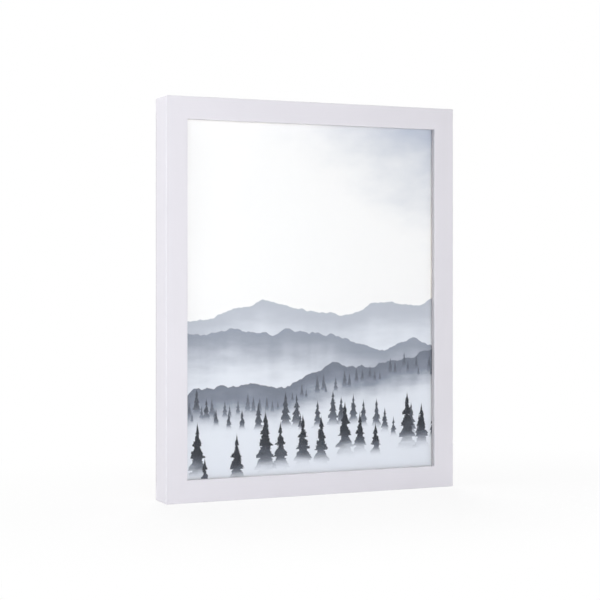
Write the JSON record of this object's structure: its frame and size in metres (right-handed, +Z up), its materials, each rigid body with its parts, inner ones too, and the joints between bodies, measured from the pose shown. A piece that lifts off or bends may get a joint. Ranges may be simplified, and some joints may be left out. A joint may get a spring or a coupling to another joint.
{
  "type": "picture frame",
  "caption": "Deep flat-faced white wooden picture frame with glazing, print, back panel held by swivelling turn buttons, and ring hangers.",
  "frame": {"origin": "middle of the underside, half way through the moulding's depth", "axes": "+Z up, the picture faces -Y, +X to the viewer's right, +Y towards the wall"},
  "size_m": [0.3114, 0.035, 0.3876],
  "materials": {
    "white_painted_wood": "satin white paint over fine grain, bare at the rear",
    "clear_acrylic": "clear, polished",
    "printed_paper": "matt printed paper",
    "mount_card": "matt card",
    "raw_softwood": "sawn softwood",
    "brown_hardboard": "pressed fibre, one smooth side",
    "zinc_plated_steel": "bright zinc plate",
    "nickel_plated_steel": "nickel plate",
    "white_rubber": "matt"
  },
  "bodies": {
    "frame": {"top_rail": "white_painted_wood", "bottom_rail": "white_painted_wood", "left_stile": "white_painted_wood", "right_stile": "white_painted_wood", "corner_nail_bottom_left_outer": "zinc_plated_steel", "corner_nail_bottom_left_inner": "zinc_plated_steel", "corner_nail_bottom_right_outer": "zinc_plated_steel", "corner_nail_bottom_right_inner": "zinc_plated_steel", "corner_nail_top_right_outer": "zinc_plated_steel", "corner_nail_top_right_inner": "zinc_plated_steel", "corner_nail_top_left_outer": "zinc_plated_steel", "corner_nail_top_left_inner": "zinc_plated_steel", "glazing": "clear_acrylic", "print": "printed_paper", "mount_board": "mount_card", "spacer_left": "raw_softwood", "spacer_right": "raw_softwood", "spacer_top": "raw_softwood", "spacer_bottom": "raw_softwood", "back_panel": "brown_hardboard", "button_screw_left_lower": "zinc_plated_steel", "button_screw_left_upper": "zinc_plated_steel", "button_screw_right_lower": "zinc_plated_steel", "button_screw_right_upper": "zinc_plated_steel", "button_screw_bottom_left": "zinc_plated_steel", "button_screw_bottom_right": "zinc_plated_steel", "button_screw_top_left": "zinc_plated_steel", "button_screw_top_right": "zinc_plated_steel", "hanger_strap_left": "nickel_plated_steel", "hanger_strap_right": "nickel_plated_steel", "hanger_screw_left": "nickel_plated_steel", "hanger_screw_right": "nickel_plated_steel", "wall_bumper_left": "white_rubber", "wall_bumper_right": "white_rubber"},
    "button_left_lower": {"turn_button_left_lower": "zinc_plated_steel"},
    "button_left_upper": {"turn_button_left_upper": "zinc_plated_steel"},
    "button_right_lower": {"turn_button_right_lower": "zinc_plated_steel"},
    "button_right_upper": {"turn_button_right_upper": "zinc_plated_steel"},
    "button_bottom_left": {"turn_button_bottom_left": "zinc_plated_steel"},
    "button_bottom_right": {"turn_button_bottom_right": "zinc_plated_steel"},
    "button_top_left": {"turn_button_top_left": "zinc_plated_steel"},
    "button_top_right": {"turn_button_top_right": "zinc_plated_steel"},
    "ring_left": {"hanger_ring_left": "nickel_plated_steel"},
    "ring_right": {"hanger_ring_right": "nickel_plated_steel"}
  },
  "joints": [
    {"name": "swivel_left_lower", "type": "hinge", "parent": "frame", "child": "button_left_lower", "pos_m": [-0.1481, 0.01605, 0.097], "axis": [0, 1, 0], "range_deg": [-90, 90]},
    {"name": "swivel_left_upper", "type": "hinge", "parent": "frame", "child": "button_left_upper", "pos_m": [-0.1481, 0.01605, 0.2906], "axis": [0, 1, 0], "range_deg": [-90, 90]},
    {"name": "swivel_right_lower", "type": "hinge", "parent": "frame", "child": "button_right_lower", "pos_m": [0.1481, 0.01605, 0.097], "axis": [0, 1, 0], "range_deg": [-90, 90]},
    {"name": "swivel_right_upper", "type": "hinge", "parent": "frame", "child": "button_right_upper", "pos_m": [0.1481, 0.01605, 0.2906], "axis": [0, 1, 0], "range_deg": [-90, 90]},
    {"name": "swivel_bottom_left", "type": "hinge", "parent": "frame", "child": "button_bottom_left", "pos_m": [-0.0677, 0.01605, 0.0076], "axis": [0, 1, 0], "range_deg": [-90, 90]},
    {"name": "swivel_bottom_right", "type": "hinge", "parent": "frame", "child": "button_bottom_right", "pos_m": [0.0677, 0.01605, 0.0076], "axis": [0, 1, 0], "range_deg": [-90, 90]},
    {"name": "swivel_top_left", "type": "hinge", "parent": "frame", "child": "button_top_left", "pos_m": [-0.0677, 0.01605, 0.38], "axis": [0, 1, 0], "range_deg": [-90, 90]},
    {"name": "swivel_top_right", "type": "hinge", "parent": "frame", "child": "button_top_right", "pos_m": [0.0677, 0.01605, 0.38], "axis": [0, 1, 0], "range_deg": [-90, 90]},
    {"name": "swing_ring_left", "type": "hinge", "parent": "frame", "child": "ring_left", "pos_m": [-0.1471, 0.0176, 0.2516], "axis": [1, 0, 0], "range_deg": [0, 175]},
    {"name": "swing_ring_right", "type": "hinge", "parent": "frame", "child": "ring_right", "pos_m": [0.1471, 0.0176, 0.2516], "axis": [1, 0, 0], "range_deg": [0, 175]}
  ]
}
